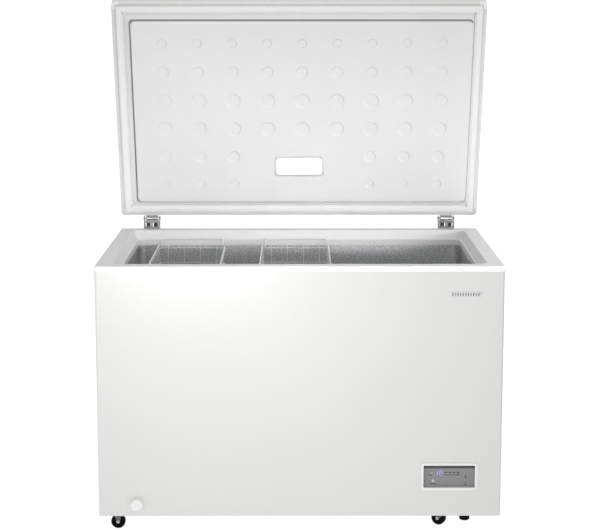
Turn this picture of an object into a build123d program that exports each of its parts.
"""Chest freezer: insulated cabinet, sprung lid, hanging baskets, cooling bay, casters.

Millimetres, +Z up, +X to the right and +Y to the back as seen by a person in front of
it. Shapes are laid out with y = 0 on the cabinet's front face, and every solid is then
moved back so that the origin is the centre of the footprint on the floor.
"""

from build123d import *
import math
import os

# Cabinet
WIDTH = 1118.0
DEPTH = 695.0
RIM_Z = 759.0  # top of the rim frame
CABINET_Z = 54.0  # underside of the cabinet
SHEET = 0.6  # painted steel sheet
CORNER_R = 6.0

# Rim frame, insets measured inwards from the cabinet's outer faces
RIM_SKIRT = 13.0
RIM_FLAT = 42.0
RIM_BEVEL_FOOT = 53.0
LEDGE_DROP = 27.0
LIP_DROP = 44.0
RIM_WALL = 2.5
OPENING_R = 25.0

# Storage cavity
CAVITY_INSET = 57.5
FLOOR_Z = 139.0
STEP_X = 290.0  # the cavity is shallower to the right of this
STEP_Z = 345.0
LINER_SHEET = 0.8
FLOOR_R = 18.0

# Cooling bay, under the step
BAY_X = 336.0
BAY_TOP = 285.0
BASE_SHEET = 1.0
TRAY_SHEET = 2.0
BACK_RETURN = 20.0  # how far the wrap-around shell turns onto the back
GRILLE = (DEPTH - 400.0, DEPTH - 90.0, 95.0, 250.0)  # y0, y1, z0, z1
GRILLE_THICK = 5.0
GLAND_X, GLAND_Z = 372.0, 78.0
COMPRESSOR_XY = (455.0, DEPTH - 200.0)
COMPRESSOR_R = 74.0
MOUNT_HEIGHT = 14.0
DRIER_XY = (BAY_X + 24.0, DEPTH - 70.0)

# Lid, in its closed place: z measured up from the rim top
LID_FRONT = -3.0
LID_REAR = DEPTH - 1.0
FLANGE_Z = 12.0
LID_THICK = 47.0
LID_EDGE_R = 24.0
LID_CORNER_R = 12.0
HEM = 11.0
PANEL_INSET = 66.0
WALL_FOOT = 60.0  # where the raised panel's side wall starts
PANEL_DROP = 10.0
PANEL_Z = FLANGE_Z - PANEL_DROP
LINER_WALL = 1.5
LID_OPEN_DEG = 73.5
GASKET_INSET = 12.5
GASKET_WIDTH = 23.5

# Hinges
HINGE_X = 465.0
PIVOT_Y = DEPTH + 18.0
PIVOT_Z = RIM_Z + 29.5
PIN_R = 4.0
RUNNING_GAP = 0.06
LEAF_WIDTH = 38.0
KNUCKLE_R = 7.0
SPRING_X = 11.5  # two springs, either side of the middle
SPRING_R = 5.4
SPRING_WIRE_R = 1.5
SPRING_RINGS = 6
BASE_WIDTH = 50.5

# Lid panel dimples and lamp
DIMPLE_PITCH_X = 105.0
DIMPLE_PITCH_Y = 91.5
DIMPLE_SHIFT_X = 9.0
DIMPLE_FIRST_ROW = 101.0
DIMPLE_DIAMETERS = [30.0, 38.0, 48.0, 48.0, 38.0, 30.0]
DIMPLE_DEPTH = 3.0
LAMP_FROM_REAR = 160.0
LAMP_SIZE = (136.0, 50.0)

# Baskets
BASKET_WIDTH = 210.0
BASKET_X = {"left": -333.5, "right": -12.0}
BASKET_RIM_DROP = 45.0
BASKET_HEIGHT = 190.0
BASKET_END_GAP = 64.0
BASKET_WALL = 1.6
WIRE_R = 2.0

# Front fittings: (x, z) centres
PANEL_CENTRE = (415.0, 167.0)
BEZEL_SIZE = (158.0, 77.5)
WINDOW_SIZE = (143.0, 64.0)
WINDOW_DEPTH = 8.0
KEYS = {"key_up": (461.0, 169.5), "key_down": (461.0, 147.5), "key_mode": (371.0, 152.5)}
KEY_R = 4.6
BADGE_CENTRE = (453.0, 682.0)
BADGE_SIZE = (89.0, 13.0)
DRAIN_X, DRAIN_Z = -453.0, 89.0
DRAIN_FLOOR_Y = 125.0

# Casters and foot: wheel centres (x, y)
WHEEL_R = 20.0
WHEEL_WIDTH = 16.0
AXLE_R = 3.0
FORK_EYE_R = 5.0
CASTER_TRAIL = 15.0
FIXED_WHEELS = {"front_left": (-512.0, 60.0), "rear_left": (-512.0, DEPTH - 60.0)}
SWIVEL_STEMS = {"front_right": (409.0, 79.0), "rear_right": (409.0, DEPTH - 70.0)}
SWIVEL_TURN = {"front_right": -27.0, "rear_right": 12.0}
FOOT_XY = (473.0, 127.0)


def plan_face(inset, radius):
    """Rounded rectangle of the cabinet's plan, inset from its outer faces."""
    size = (WIDTH - 2 * inset, DEPTH - 2 * inset)
    return Pos(0, DEPTH / 2) * RectangleRounded(*size, radius)


def block(inset, low, high, radius):
    return Pos(0, 0, low) * extrude(plan_face(inset, radius), high - low)


def taper_block(low_inset, low, high_inset, high, radius):
    bottom = Pos(0, 0, low) * plan_face(low_inset, radius)
    top = Pos(0, 0, high) * plan_face(high_inset, radius)
    return loft([bottom, top])


def span(x0, x1, y0, y1, z0, z1):
    """Box between two corners."""
    centre = Pos((x0 + x1) / 2, (y0 + y1) / 2, (z0 + z1) / 2)
    return centre * Box(x1 - x0, y1 - y0, z1 - z0)


def rod(start, end, radius):
    """Round bar between two points."""
    line = Vector(*end) - Vector(*start)
    plane = Plane(origin=start, z_dir=line.normalized())
    return extrude(plane * Circle(radius), line.length)


def front_plate(x, z, width, height, y0, y1, radius):
    """Rounded plate standing parallel to the front face, from y0 back to y1."""
    plane = Plane(origin=(x, y1, z), x_dir=(1, 0, 0), z_dir=(0, -1, 0))
    return extrude(plane * RectangleRounded(width, height, radius), y1 - y0)


def along_y(x, z, radius, y0, y1):
    return rod((x, y0, z), (x, y1, z), radius)


def upright(x, y, radius, z0, z1):
    return rod((x, y, z0), (x, y, z1), radius)


def bent_tube(points, radius, bend):
    path = FilletPolyline(*points, radius=bend)
    start = Plane(origin=path @ 0, z_dir=path % 0)
    return sweep(start * Circle(radius), path=path)


# Cabinet -----------------------------------------------------------------------------


def make_rim_frame():
    z0 = RIM_Z - LIP_DROP
    ledge = RIM_Z - LEDGE_DROP
    solid = block(0, RIM_Z - RIM_SKIRT, RIM_Z, CORNER_R) + block(RIM_FLAT - 4, z0, RIM_Z, OPENING_R + 4)
    mouth = taper_block(RIM_BEVEL_FOOT, ledge, RIM_FLAT, RIM_Z, OPENING_R)
    throat = block(CAVITY_INSET, z0, ledge, OPENING_R)
    solid = solid - mouth - throat
    under = block(RIM_WALL, z0, RIM_Z - RIM_WALL, CORNER_R - RIM_WALL)
    under = under - rim_core()
    return solid - under


def rim_core():
    """Everything inside the rim frame's hidden faces: what the foam must leave free."""
    ledge_back = RIM_Z - LEDGE_DROP - RIM_WALL
    wall = taper_block(RIM_BEVEL_FOOT - RIM_WALL, ledge_back, RIM_FLAT - RIM_WALL, RIM_Z, OPENING_R)
    lip = block(CAVITY_INSET - RIM_WALL, RIM_Z - LIP_DROP, ledge_back, OPENING_R)
    return wall + lip


def cavity(grow):
    """Storage space grown outwards by a wall thickness, below the rim frame's lip."""
    half = WIDTH / 2 - CAVITY_INSET + grow
    top = RIM_Z - LIP_DROP
    outline = [
        (-half, top),
        (-half, FLOOR_Z - grow),
        (STEP_X + grow, FLOOR_Z - grow),
        (STEP_X + grow, STEP_Z - grow),
        (half, STEP_Z - grow),
        (half, top),
    ]
    outline = Plane.XZ * make_face(Polyline(*outline, close=True))
    corners = [v for v in outline.vertices() if v.Z < top - 1]
    outline = fillet(corners, FLOOR_R)
    profile = Pos(0, DEPTH, 0) * extrude(outline, DEPTH)
    return profile & block(CAVITY_INSET - grow, FLOOR_Z - grow, top, OPENING_R + grow)


def make_inner_liner():
    hole = upright(DRAIN_X, DRAIN_FLOOR_Y, 12.8, FLOOR_Z - 5, FLOOR_Z + 5)
    return cavity(LINER_SHEET) - cavity(0) - hole


def bay():
    inner = WIDTH / 2 - SHEET
    return span(BAY_X, inner, SHEET, DEPTH - SHEET, CABINET_Z, BAY_TOP)


def drain_void():
    flat = along_y(DRAIN_X, DRAIN_Z, 15.5, 0, DRAIN_FLOOR_Y + 15.5)
    return flat + upright(DRAIN_X, DRAIN_FLOOR_Y, 15.5, DRAIN_Z, FLOOR_Z - LINER_SHEET)


def make_insulation_foam():
    skirt_z = RIM_Z - RIM_SKIRT
    body = block(SHEET, CABINET_Z + BASE_SHEET, skirt_z, CORNER_R - SHEET)
    crown = block(RIM_WALL, skirt_z, RIM_Z - RIM_WALL, CORNER_R - RIM_WALL)
    return body + crown - rim_core() - cavity(LINER_SHEET) - bay() - drain_void()


def make_outer_shell():
    ring = block(0, CABINET_Z, RIM_Z - RIM_SKIRT, CORNER_R)
    ring = ring - block(SHEET, CABINET_Z, RIM_Z - RIM_SKIRT, CORNER_R - SHEET)
    half = WIDTH / 2 - BACK_RETURN
    ring = ring - span(-half, half, DEPTH - 3, DEPTH + 3, CABINET_Z, RIM_Z)
    y0, y1, z0, z1 = GRILLE
    ring = ring - span(WIDTH / 2 - 3, WIDTH / 2 + 3, y0, y1, z0, z1)
    px, pz = PANEL_CENTRE
    ring = ring - front_plate(px, pz, WINDOW_SIZE[0] + 6, WINDOW_SIZE[1] + 6, -2, 2, 5)
    return ring - along_y(DRAIN_X, DRAIN_Z, 15.0, -2, 2)


def make_back_panel():
    half = WIDTH / 2 - BACK_RETURN
    panel = span(-half, half, DEPTH - SHEET, DEPTH, CABINET_Z, RIM_Z - RIM_SKIRT)
    return panel - span(BAY_X, half + 1, DEPTH - 3, DEPTH + 3, 0, BAY_TOP)


def make_base_pan():
    pan = block(SHEET, CABINET_Z, CABINET_Z + BASE_SHEET, CORNER_R - SHEET)
    return pan & span(-WIDTH, BAY_X, 0, DEPTH, 0, RIM_Z)


def make_compressor_tray():
    tray = block(SHEET, CABINET_Z, CABINET_Z + TRAY_SHEET, CORNER_R - SHEET)
    return tray & span(BAY_X, WIDTH, 0, DEPTH, 0, RIM_Z)


def make_vent_grille():
    y0, y1, z0, z1 = GRILLE
    x0, x1 = WIDTH / 2 - GRILLE_THICK, WIDTH / 2
    plate = span(x0, x1, y0, y1, z0, z1)
    rows, columns = 11, 3
    row_pitch = (z1 - z0 - 18) / rows
    column_pitch = (y1 - y0 - 16) / columns
    for row in range(rows):
        z = z0 + 9 + (row + 0.5) * row_pitch
        for column in range(columns):
            y = y0 + 8 + (column + 0.5) * column_pitch
            reach = column_pitch / 2 - 6
            plate = plate - span(x0 - 1, x1 + 1, y - reach, y + reach, z - 3.2, z + 3.2)
    return plate


def make_rear_bay_cover():
    half = WIDTH / 2 - BACK_RETURN
    plate = span(BAY_X, half, DEPTH - SHEET - 0.4, DEPTH, CABINET_Z + TRAY_SHEET, BAY_TOP)
    middle = (BAY_X + half) / 2
    for row in range(8):
        z = 110 + row * 18
        plate = plate - span(middle - 70, middle + 70, DEPTH - 3, DEPTH + 3, z - 4, z + 4)
    return plate - along_y(GLAND_X, GLAND_Z, 9.0, DEPTH - 3, DEPTH + 3)


def make_power_inlet_gland():
    body = along_y(GLAND_X, GLAND_Z, 9.0, DEPTH - 8, DEPTH + 3)
    body = body + along_y(GLAND_X, GLAND_Z, 12.5, DEPTH, DEPTH + 3)
    body = body + along_y(GLAND_X, GLAND_Z, 7.5, DEPTH + 3, DEPTH + 9)
    return body - along_y(GLAND_X, GLAND_Z, 4.0, DEPTH - 9, DEPTH + 10)


# Cooling system ----------------------------------------------------------------------


def wound_tube(inset, tube_r, bend, low, pitch, turns):
    """One tube wound round the cabinet, rising by one pitch in each turn."""
    half_x, half_y = WIDTH / 2 - inset, DEPTH / 2 - inset
    corners = [(-half_x, -half_y), (half_x, -half_y), (half_x, half_y), (-half_x, half_y)]
    points = []
    for quarter in range(4 * turns):
        x, y = corners[quarter % 4]
        points.append((x, DEPTH / 2 + y, low + quarter * pitch / 4))
    points[0] = (0, points[0][1], points[0][2])
    points[-1] = (0, points[-1][1], points[-1][2])
    return bent_tube(points, tube_r, bend)


def make_evaporator_coil():
    tube_r = 4.0
    inset = CAVITY_INSET - LINER_SHEET - tube_r - 0.3
    return wound_tube(inset, tube_r, OPENING_R + 4, STEP_Z + 45, 50.0, 6)


def make_condenser_coil():
    tube_r = 2.5
    return wound_tube(SHEET + tube_r + 0.3, tube_r, 20.0, BAY_TOP + 40, 60.0, 6)


def mount_points():
    x, y = COMPRESSOR_XY
    return [(x + dx, y + dy) for dx in (-62, 62) for dy in (-48, 48)]


def make_compressor():
    x, y = COMPRESSOR_XY
    foot_z = CABINET_Z + TRAY_SHEET + MOUNT_HEIGHT
    plate = span(x - 76, x + 76, y - 60, y + 60, foot_z, foot_z + 3)
    for px, py in mount_points():
        plate = plate - upright(px, py, 6.0, foot_z - 1, foot_z + 4)
    can = upright(x, y, COMPRESSOR_R, foot_z + 3, foot_z + 165)
    can = fillet(can.edges().filter_by(GeomType.CIRCLE), 32)
    seam = upright(x, y, COMPRESSOR_R + 3, foot_z + 92, foot_z + 97)
    stub = rod((x - 60, y, foot_z + 120), (x - 92, y, foot_z + 120), 6)
    return plate + can + seam + stub


def make_compressor_mounts():
    base = CABINET_Z + TRAY_SHEET
    mounts = []
    for x, y in mount_points():
        post = upright(x, y, 11, base, base + MOUNT_HEIGHT)
        post = post + upright(x, y, 6, base + MOUNT_HEIGHT, base + MOUNT_HEIGHT + 3)
        mounts.append(post + upright(x, y, 9, base + MOUNT_HEIGHT + 3, base + MOUNT_HEIGHT + 6))
    return Compound(children=mounts)


def make_starter_cover():
    x, y = COMPRESSOR_XY
    base = CABINET_Z + TRAY_SHEET + MOUNT_HEIGHT + 40
    box = span(x - 34, x + 34, y - COMPRESSOR_R - 34, y - COMPRESSOR_R + 18, base, base + 72)
    box = fillet(box.edges().filter_by(Axis.Z), 6)
    return box - upright(x, y, COMPRESSOR_R + 0.4, base - 1, base + 73) - upright(
        x, y, COMPRESSOR_R + 3.4, CABINET_Z + 105, CABINET_Z + 117
    )


def make_filter_drier():
    x, y = DRIER_XY
    body = upright(x, y, 10, 140, 225)
    body = fillet(body.edges().filter_by(GeomType.CIRCLE), 5)
    return body + upright(x, y, 3.2, 128, 237)


def make_refrigerant_lines():
    cx, cy = COMPRESSOR_XY
    dx, dy = DRIER_XY
    stub_x, stub_z = cx - 92, CABINET_Z + TRAY_SHEET + MOUNT_HEIGHT + 120
    discharge = [
        (dx, dy, 128),
        (dx, dy, 100),
        (dx, cy + 95, 100),
        (cx - 50, cy + 95, 100),
    ]
    lines = [
        bent_tube([(dx, dy, 237), (dx, dy, 262), (dx, DEPTH - 20, 262), (dx, DEPTH - 20, BAY_TOP)], 3.0, 9),
        bent_tube([(stub_x, cy, stub_z), (stub_x - 6, cy, stub_z), (stub_x - 6, cy - 60, stub_z),
                   (stub_x - 6, cy - 60, BAY_TOP)], 4.0, 5.5),
    ]
    lines.append(bent_tube(discharge, 3.0, 10))
    return Compound(children=lines)


# Front fittings ----------------------------------------------------------------------


def make_control_bezel():
    x, z = PANEL_CENTRE
    face = front_plate(x, z, *BEZEL_SIZE, -2.5, 0, 8)
    sleeve = front_plate(x, z, WINDOW_SIZE[0] + 6, WINDOW_SIZE[1] + 6, 0, 15, 5)
    face = fillet(face.edges().filter_by(lambda e: e.center().Y < -2.4), 1.2)
    return face + sleeve - front_plate(x, z, *WINDOW_SIZE, -5, 20, 2.5)


def make_display_window():
    x, z = PANEL_CENTRE
    glass = front_plate(x, z, *WINDOW_SIZE, WINDOW_DEPTH, WINDOW_DEPTH + 2.5, 2.5)
    for kx, kz in KEYS.values():
        glass = glass - along_y(kx, kz, KEY_R + 0.3, 0, 20)
    return glass


def make_key(x, z):
    cap = along_y(x, z, KEY_R, WINDOW_DEPTH - 1.2, WINDOW_DEPTH + 2.8)
    cap = fillet(cap.edges().filter_by(lambda e: e.center().Y < WINDOW_DEPTH - 1), 0.8)
    return cap + along_y(x, z, KEY_R + 1.6, WINDOW_DEPTH + 2.8, WINDOW_DEPTH + 3.8)


def make_control_board():
    x, z = PANEL_CENTRE
    board_y = WINDOW_DEPTH + 5.2
    board = front_plate(x, z, *WINDOW_SIZE, board_y, board_y + 1.6, 2.5)
    digits = span(x - 56, x - 14, board_y - 2.4, board_y, z + 3, z + 19)
    relay = span(x + 20, x + 40, board_y + 1.6, board_y + 18, z - 22, z - 4)
    connector = span(x - 50, x - 20, board_y + 1.6, board_y + 13, z - 24, z - 14)
    return board + digits + relay + connector


def make_badge():
    x, z = BADGE_CENTRE
    plate = front_plate(x, z, *BADGE_SIZE, -1.4, 0, 5)
    return fillet(plate.edges().filter_by(lambda e: e.center().Y < -1.3), 0.6)


def make_drain_escutcheon():
    ring = along_y(DRAIN_X, DRAIN_Z, 19.0, -3, 0)
    ring = fillet(ring.edges().filter_by(lambda e: e.center().Y < -2.9), 1.4)
    ring = ring + along_y(DRAIN_X, DRAIN_Z, 15.0, 0, 12)
    return ring - along_y(DRAIN_X, DRAIN_Z, 12.06, -6, 14)


def make_drain_spout():
    cap = along_y(DRAIN_X, DRAIN_Z, 17.0, -13, -4)
    cap = fillet(cap.edges().filter_by(lambda e: e.center().Y < -12.9), 4.5)
    tube = cap + along_y(DRAIN_X, DRAIN_Z, 12.0, -5, 42)
    return tube - along_y(DRAIN_X, DRAIN_Z, 9.0, -5, 43)


def make_drain_tube():
    outer = drain_void() - along_y(DRAIN_X, DRAIN_Z, 16, -1, 12)
    bore = along_y(DRAIN_X, DRAIN_Z, 13.3, 11, DRAIN_FLOOR_Y + 13.3)
    return outer - bore - upright(DRAIN_X, DRAIN_FLOOR_Y, 12.8, DRAIN_Z, FLOOR_Z)


def make_drain_plug():
    stem = upright(DRAIN_X, DRAIN_FLOOR_Y, 12.4, FLOOR_Z - 14, FLOOR_Z + 0.3)
    flange = upright(DRAIN_X, DRAIN_FLOOR_Y, 17, FLOOR_Z + 0.3, FLOOR_Z + 4)
    grip = span(DRAIN_X - 9, DRAIN_X + 9, DRAIN_FLOOR_Y - 2, DRAIN_FLOOR_Y + 2, FLOOR_Z + 4, FLOOR_Z + 14)
    return stem + flange + grip


# Casters and foot --------------------------------------------------------------------


def fork_legs(trail, top_z, half_top):
    """Two tapered legs that meet a top plate; the stem is at x = 0, the axle at -trail."""
    profile = make_hull(
        [Pos(-trail, WHEEL_R) * Circle(FORK_EYE_R).edge(), Line((-half_top, top_z), (half_top, top_z))]
    )
    inner = WHEEL_WIDTH / 2 + 0.6
    legs = []
    for y in (inner, -inner - 2):
        legs.append(Pos(0, y + 2, 0) * extrude(Plane.XZ * profile, 2))
    fork = legs[0] + legs[1] + span(-half_top, half_top, -inner - 2, inner + 2, top_z - 2.5, top_z)
    return fork - along_y(-trail, WHEEL_R, AXLE_R, -20, 20)


def fixed_fork(x, y):
    fork = fork_legs(0, CABINET_Z - 5.5, 10.5) + span(-15, 15, -13, 13, CABINET_Z - 5.5, CABINET_Z)
    return Pos(x, y, 0) * fork


def swivel_fork(x, y, turn):
    top_z = CABINET_Z - 5.5
    fork = fork_legs(CASTER_TRAIL, top_z, 13) - upright(0, 0, PIN_R + RUNNING_GAP, top_z - 4, top_z + 1)
    return Pos(x, y, 0) * Rot(0, 0, turn) * fork


def swivel_mount(x, y):
    """Plate under the cabinet with a boss, and the rivet that the fork hangs on."""
    fork_top = CABINET_Z - 5.5
    plate = span(-18, 18, -18, 18, CABINET_Z - 2.5, CABINET_Z)
    boss = upright(0, 0, 12, fork_top + 0.3, CABINET_Z - 2.5)
    rivet = upright(0, 0, PIN_R, fork_top - 2.8, fork_top + 0.3)
    head = upright(0, 0, 6, fork_top - 5.0, fork_top - 2.8)
    return Pos(x, y, 0) * (plate + boss + rivet + head)


def wheel(x, y, turn):
    half = WHEEL_WIDTH / 2
    tyre = along_y(0, 0, WHEEL_R, -half, half)
    tyre = fillet(tyre.edges().filter_by(GeomType.CIRCLE), 2.5)
    for side in (-1, 1):
        dish = along_y(0, 0, 13, side * half, side * (half - 2.5))
        tyre = tyre - (dish - along_y(0, 0, 7, side * half, side * (half - 2.5)))
    tyre = tyre - along_y(0, 0, AXLE_R + RUNNING_GAP, -20, 20)
    return Pos(x, y, WHEEL_R) * Rot(0, 0, turn) * tyre


def axle(x, y, turn):
    reach = WHEEL_WIDTH / 2 + 2.6
    bar = along_y(0, 0, AXLE_R, -reach, reach)
    for side in (-1, 1):
        bar = bar + along_y(0, 0, AXLE_R + 1.6, side * reach, side * (reach + 1.6))
    return Pos(x, y, WHEEL_R) * Rot(0, 0, turn) * bar


def swivel_wheel_xy(name):
    x, y = SWIVEL_STEMS[name]
    turn = math.radians(SWIVEL_TURN[name])
    return x - CASTER_TRAIL * math.cos(turn), y - CASTER_TRAIL * math.sin(turn)


def make_support_foot():
    foot = Pos(*FOOT_XY, CABINET_Z / 2) * Cone(14.5, 17, CABINET_Z)
    return fillet(foot.edges().filter_by(lambda e: e.center().Z < 1), 4)


# Hinges ------------------------------------------------------------------------------


def make_hinge_base(x):
    half = BASE_WIDTH / 2
    ear = 2.0
    back = DEPTH + 2.5
    web0, web1 = PIVOT_Y - 14.0, PIVOT_Y - 12.0
    plate = span(-half, half, DEPTH, back, RIM_Z - 78, RIM_Z)
    bridge = span(-half, half, DEPTH, PIVOT_Y + 5, RIM_Z - 3, RIM_Z)
    web = span(-half, half, web0, web1, RIM_Z - 3, RIM_Z + 24)
    for side in (-1, 1):
        web = web - span(side * 11.5 - 8.5, side * 11.5 + 8.5, web0 - 1, web1 + 1, RIM_Z + 5, RIM_Z + 17)
    base = plate + bridge + web
    outline = make_hull(
        [
            Pos(PIVOT_Y, PIVOT_Z) * Circle(9).edge(),
            Line((DEPTH, RIM_Z - 70), (DEPTH, RIM_Z + 12)),
            Line((DEPTH, RIM_Z - 70), (DEPTH + 8, RIM_Z - 70)),
        ]
    )
    for side in (-1, 1):
        wing = extrude(Plane.YZ * outline, ear)
        base = base + Pos(side * (half - ear / 2) - ear / 2, 0, 0) * wing
    base = base - rod((-half - 1, PIVOT_Y, PIVOT_Z), (half + 1, PIVOT_Y, PIVOT_Z), PIN_R)
    for sx, sz in hinge_screw_places():
        base = base - along_y(sx, sz, 2.6, DEPTH - 1, back + 1)
    return Pos(x, 0, 0) * base


def hinge_screw_places():
    return [(sx, RIM_Z - drop) for sx in (-14, 14) for drop in (24, 62)]


def make_hinge_base_screws():
    back = DEPTH + 2.5
    screws = []
    for x in (-HINGE_X, HINGE_X):
        for sx, sz in hinge_screw_places():
            screw = along_y(x + sx, sz, 2.5, DEPTH - 18, back)
            head = along_y(x + sx, sz, 5, back, back + 3)
            screws.append(screw + fillet(head.edges().filter_by(lambda e: e.center().Y > back + 2), 1.2))
    return Compound(children=screws)


def make_hinge_pins():
    reach = BASE_WIDTH / 2
    pins = []
    for x in (-HINGE_X, HINGE_X):
        pin = rod((x - reach, PIVOT_Y, PIVOT_Z), (x + reach, PIVOT_Y, PIVOT_Z), PIN_R)
        for side in (-1, 1):
            end = x + side * reach
            pin = pin + rod((end, PIVOT_Y, PIVOT_Z), (end + side * 2, PIVOT_Y, PIVOT_Z), 5.5)
        pins.append(pin)
    return Compound(children=pins)


def make_hinge_springs():
    """Two upright springs in each base, made of rings of wire that touch one on another."""
    springs = []
    pitch = 2 * SPRING_WIRE_R + 0.1
    for x in (-HINGE_X, HINGE_X):
        for side in (-1, 1):
            for ring in range(SPRING_RINGS):
                z = RIM_Z + SPRING_WIRE_R + 0.05 + pitch * ring
                springs.append(Pos(x + side * SPRING_X, PIVOT_Y - 3, z) * Torus(SPRING_R, SPRING_WIRE_R))
    return Compound(children=springs)


# Lid, built closed -------------------------------------------------------------------


def lid_face(inset, radius):
    centre = (LID_FRONT + LID_REAR) / 2
    size = (WIDTH - 2 * inset, LID_REAR - LID_FRONT - 2 * inset)
    return Pos(0, centre) * RectangleRounded(*size, radius)


def lid_block(inset, low, high, radius):
    """Slab of the lid's plan; heights are measured up from the rim top."""
    return Pos(0, 0, RIM_Z + low) * extrude(lid_face(inset, radius), high - low)


def lid_taper(low_inset, low, high_inset, high, radius):
    bottom = Pos(0, 0, RIM_Z + low) * lid_face(low_inset, radius)
    top = Pos(0, 0, RIM_Z + high) * lid_face(high_inset, radius)
    return loft([bottom, top])


def rounded_top(half_width, low, high, radius):
    """Rectangle with its two upper corners rounded, centred on x = 0."""
    face = Pos(0, (low + high) / 2) * Rectangle(2 * half_width, high - low)
    return fillet([v for v in face.vertices() if v.Y > (low + high) / 2], radius)


def lid_form(inset, low):
    """The lid's outer form, inset evenly, with rounded upper edges and corners."""
    low, high = RIM_Z + low, RIM_Z + FLANGE_Z + LID_THICK - inset
    radius = LID_EDGE_R - inset
    across = Plane.XZ * rounded_top(WIDTH / 2 - inset, low, high, radius)
    across = Pos(0, DEPTH + 100, 0) * extrude(across, DEPTH + 200)
    length = (LID_REAR - LID_FRONT) / 2 - inset
    along = Plane.YZ * rounded_top(length, low, high, radius)
    along = Pos(-WIDTH, (LID_FRONT + LID_REAR) / 2, 0) * extrude(along, 2 * WIDTH)
    plan = lid_block(inset, low - RIM_Z, high - RIM_Z, LID_CORNER_R - inset)
    return plan & across & along


def open_lid(shape):
    """Turn a closed lid part about the hinge axis to the open rest pose."""
    return Pos(0, PIVOT_Y, PIVOT_Z) * Rot(-LID_OPEN_DEG, 0, 0) * Pos(0, -PIVOT_Y, -PIVOT_Z) * shape


def make_lid_shell():
    inner = lid_form(SHEET, FLANGE_Z + SHEET)
    return lid_form(0, FLANGE_Z) - inner - lid_block(HEM, FLANGE_Z - 1, FLANGE_Z + 1, 5)


def dimple_places():
    """Dimple centres and diameters; the lamp takes the middle of the two rear rows."""
    rear = LID_REAR - HEM
    for row, diameter in enumerate(DIMPLE_DIAMETERS):
        for column in range(-4, 5):
            if row < 2 and abs(column) <= 1:
                continue
            x = DIMPLE_SHIFT_X + column * DIMPLE_PITCH_X
            yield x, rear - DIMPLE_FIRST_ROW - row * DIMPLE_PITCH_Y, diameter


def lid_dimples(wall):
    """Round dimples pressed up into the flat panel, larger by wall for their foam side."""
    depth = DIMPLE_DEPTH + wall
    for x, y, diameter in dimple_places():
        cone = Cone(diameter / 2 + wall, diameter / 2 + wall - 5, depth)
        yield Pos(x, y, RIM_Z + PANEL_Z + depth / 2) * cone


def lamp_plate(grow, low, high, radius):
    y = LID_REAR - HEM - LAMP_FROM_REAR
    size = (LAMP_SIZE[0] + 2 * grow, LAMP_SIZE[1] + 2 * grow)
    return Pos(0, y, RIM_Z + low) * extrude(RectangleRounded(*size, radius), high - low)


def make_lid_liner():
    top = FLANGE_Z + LINER_WALL
    form = lid_block(HEM, FLANGE_Z - 1, top, 5) + lid_taper(PANEL_INSET, PANEL_Z, WALL_FOOT, FLANGE_Z, 12)
    hollow = lid_taper(PANEL_INSET + LINER_WALL, PANEL_Z + LINER_WALL, WALL_FOOT + LINER_WALL, top, 12)
    skin = (form - list(lid_dimples(0))) - (hollow - list(lid_dimples(LINER_WALL)))
    return skin - lamp_plate(4, PANEL_Z - 5, PANEL_Z + 5, 10)


def make_lid_foam():
    top = FLANGE_Z + LINER_WALL
    fill = lid_form(SHEET, top)
    fill = fill + lid_taper(PANEL_INSET + LINER_WALL, PANEL_Z + LINER_WALL, WALL_FOOT + LINER_WALL, top, 12)
    return fill - list(lid_dimples(LINER_WALL)) - lamp_plate(4, PANEL_Z - 5, PANEL_Z + 20, 10)


def make_lid_gasket():
    ring = lid_block(GASKET_INSET, 0.4, FLANGE_Z - 1, 8)
    return ring - lid_block(GASKET_INSET + GASKET_WIDTH, 0, FLANGE_Z, 3)


def make_lamp_housing():
    shell = lamp_plate(4, PANEL_Z, PANEL_Z + 20, 10) + lamp_plate(9, PANEL_Z - 1.2, PANEL_Z, 13)
    return shell - lamp_plate(0, PANEL_Z - 2, PANEL_Z + 17, 8)


def make_lamp_board():
    board = lamp_plate(-1, PANEL_Z + 14, PANEL_Z + 15.6, 5)
    y = LID_REAR - HEM - LAMP_FROM_REAR
    leds = []
    for index in range(6):
        x = (index - 2.5) * 23
        leds.append(span(x - 2.5, x + 2.5, y - 2.5, y + 2.5, RIM_Z + PANEL_Z + 12.4, RIM_Z + PANEL_Z + 14))
    end = LAMP_SIZE[0] / 2
    switch = span(end - 16, end - 4, y + 8, y + 18, RIM_Z + PANEL_Z + 7, RIM_Z + PANEL_Z + 14)
    return board + leds + switch


def make_lamp_lens():
    cover = lamp_plate(-0.2, PANEL_Z - 4.5, PANEL_Z + 2, 8)
    cover = fillet(cover.edges().filter_by(lambda e: e.center().Z < RIM_Z + PANEL_Z - 4.4), 2.5)
    return cover - lamp_plate(-2.2, PANEL_Z - 2.5, PANEL_Z + 3, 6)


def make_lid_corner_caps():
    caps = []
    ring = lid_block(0, FLANGE_Z - 1.2, FLANGE_Z, LID_CORNER_R) - lid_block(HEM, 0, FLANGE_Z + 1, 5)
    for x in (-WIDTH / 2, WIDTH / 2):
        for y in (LID_FRONT, LID_REAR):
            caps.append(ring & (Pos(x, y, RIM_Z + FLANGE_Z) * Box(48, 48, 20)))
    return Compound(children=caps)


def make_hinge_leaf(x):
    half = LEAF_WIDTH / 2
    low, high = RIM_Z + FLANGE_Z + 3, RIM_Z + FLANGE_Z + 34
    leaf = span(-half, half, LID_REAR, LID_REAR + 2, low, high)
    leaf = leaf + span(-half, half, LID_REAR + 2, PIVOT_Y, PIVOT_Z - 2.5, PIVOT_Z + 2.5)
    leaf = leaf + rod((-half, PIVOT_Y, PIVOT_Z), (half, PIVOT_Y, PIVOT_Z), KNUCKLE_R)
    return Pos(x, 0, 0) * (leaf - rod((-30, PIVOT_Y, PIVOT_Z), (30, PIVOT_Y, PIVOT_Z), PIN_R + RUNNING_GAP))


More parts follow.
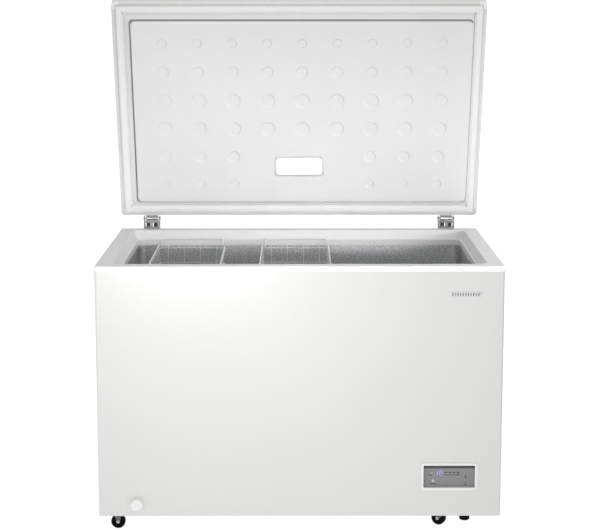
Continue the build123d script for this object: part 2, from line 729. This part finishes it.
def make_hinge_leaf_screws():
    """Screws through each leaf into the lid's rear wall, above the knuckles."""
    screws = []
    z = RIM_Z + FLANGE_Z + 28
    for hinge in (-HINGE_X, HINGE_X):
        for dx in (-12, 12):
            shank = along_y(hinge + dx, z, 2.2, LID_REAR - 16, LID_REAR + 2)
            screws.append(shank + along_y(hinge + dx, z, 4.2, LID_REAR + 2, LID_REAR + 3.6))
    return Compound(children=screws)


# Baskets -----------------------------------------------------------------------------


def make_basket(x):
    top = RIM_Z - BASKET_RIM_DROP
    length = DEPTH - 2 * BASKET_END_GAP

    def section(shrink, z):
        size = (BASKET_WIDTH - 2 * shrink, length - 2 * shrink)
        return Pos(0, DEPTH / 2, z) * RectangleRounded(*size, 14)

    outer = loft([section(10, top - BASKET_HEIGHT), section(0, top)])
    inner = loft([section(10 + BASKET_WALL, top - BASKET_HEIGHT + BASKET_WALL), section(BASKET_WALL, top)])
    rim = extrude(section(0, top - 4), 4) - extrude(section(4, top - 4), 4)
    basket = outer - inner + rim
    bar_z = RIM_Z - LEDGE_DROP + WIRE_R + 0.3
    half = BASKET_WIDTH / 2 - 10
    rest = 55.3  # inset of the hanger bar, over the middle of the ledge
    root = BASKET_END_GAP + 2.6
    for bar_y, rim_y in ((rest, root), (DEPTH - rest, DEPTH - root)):
        hanger = [(rim_y, top - 2), (rim_y, bar_z), (bar_y, bar_z)]
        points = [(-half, y, z) for y, z in hanger] + [(half, y, z) for y, z in reversed(hanger)]
        basket = basket + bent_tube(points, WIRE_R, 3)
    return Pos(x, 0, 0) * basket


# Assembly ----------------------------------------------------------------------------


def caster_nodes():
    nodes = {}
    for name, (x, y) in FIXED_WHEELS.items():
        nodes[f"caster_fork_{name}"] = fixed_fork(x, y)
        nodes[f"caster_axle_{name}"] = axle(x, y, 0)
        nodes[f"caster_wheel_{name}"] = wheel(x, y, 0)
    for name, (x, y) in SWIVEL_STEMS.items():
        turn = SWIVEL_TURN[name]
        nodes[f"caster_fork_{name}"] = swivel_fork(x, y, turn)
        nodes[f"caster_axle_{name}"] = axle(*swivel_wheel_xy(name), turn)
        nodes[f"caster_wheel_{name}"] = wheel(*swivel_wheel_xy(name), turn)
    mounts = [swivel_mount(x, y) for x, y in SWIVEL_STEMS.values()]
    nodes["caster_swivel_mounts"] = Compound(children=mounts)
    return nodes


def build_nodes():
    nodes = {
        "outer_shell": make_outer_shell(),
        "back_panel": make_back_panel(),
        "rim_frame": make_rim_frame(),
        "insulation_foam": make_insulation_foam(),
        "inner_liner": make_inner_liner(),
        "base_pan": make_base_pan(),
        "compressor_tray": make_compressor_tray(),
        "vent_grille": make_vent_grille(),
        "rear_bay_cover": make_rear_bay_cover(),
        "power_inlet_gland": make_power_inlet_gland(),
        "evaporator_coil": make_evaporator_coil(),
        "condenser_coil": make_condenser_coil(),
        "compressor": make_compressor(),
        "compressor_mounts": make_compressor_mounts(),
        "starter_cover": make_starter_cover(),
        "filter_drier": make_filter_drier(),
        "refrigerant_lines": make_refrigerant_lines(),
        "control_bezel": make_control_bezel(),
        "display_window": make_display_window(),
        "control_board": make_control_board(),
        "badge": make_badge(),
        "drain_escutcheon": make_drain_escutcheon(),
        "drain_tube": make_drain_tube(),
        "drain_spout": make_drain_spout(),
        "drain_plug": make_drain_plug(),
        "support_foot": make_support_foot(),
        "hinge_base_left": make_hinge_base(-HINGE_X),
        "hinge_base_right": make_hinge_base(HINGE_X),
        "hinge_base_screws": make_hinge_base_screws(),
        "hinge_pins": make_hinge_pins(),
        "hinge_springs": make_hinge_springs(),
        "lid_shell": open_lid(make_lid_shell()),
        "lid_foam": open_lid(make_lid_foam()),
        "lid_liner": open_lid(make_lid_liner()),
        "lid_gasket": open_lid(make_lid_gasket()),
        "lid_corner_caps": open_lid(make_lid_corner_caps()),
        "lamp_housing": open_lid(make_lamp_housing()),
        "lamp_board": open_lid(make_lamp_board()),
        "lamp_lens": open_lid(make_lamp_lens()),
        "hinge_leaf_left": open_lid(make_hinge_leaf(-HINGE_X)),
        "hinge_leaf_right": open_lid(make_hinge_leaf(HINGE_X)),
        "hinge_leaf_screws": open_lid(make_hinge_leaf_screws()),
    }
    for key, (x, z) in KEYS.items():
        nodes[key] = make_key(x, z)
    for side, x in BASKET_X.items():
        nodes[f"basket_{side}"] = make_basket(x)
    nodes.update(caster_nodes())
    return nodes


def footprint_shift(nodes):
    """Distance that moves the middle of the whole object's depth to y = 0."""
    boxes = [shape.bounding_box() for shape in nodes.values()]
    front = min(box.min.Y for box in boxes)
    back = max(box.max.Y for box in boxes)
    return -(front + back) / 2


NODES = build_nodes()
SHIFT_Y = footprint_shift(NODES)

os.makedirs("parts", exist_ok=True)
for node_name, shape in NODES.items():
    export_step(Pos(0, SHIFT_Y, 0) * shape, f"parts/{node_name}.step")
print(f"{len(NODES)} nodes, moved {SHIFT_Y:.3f} mm along Y")
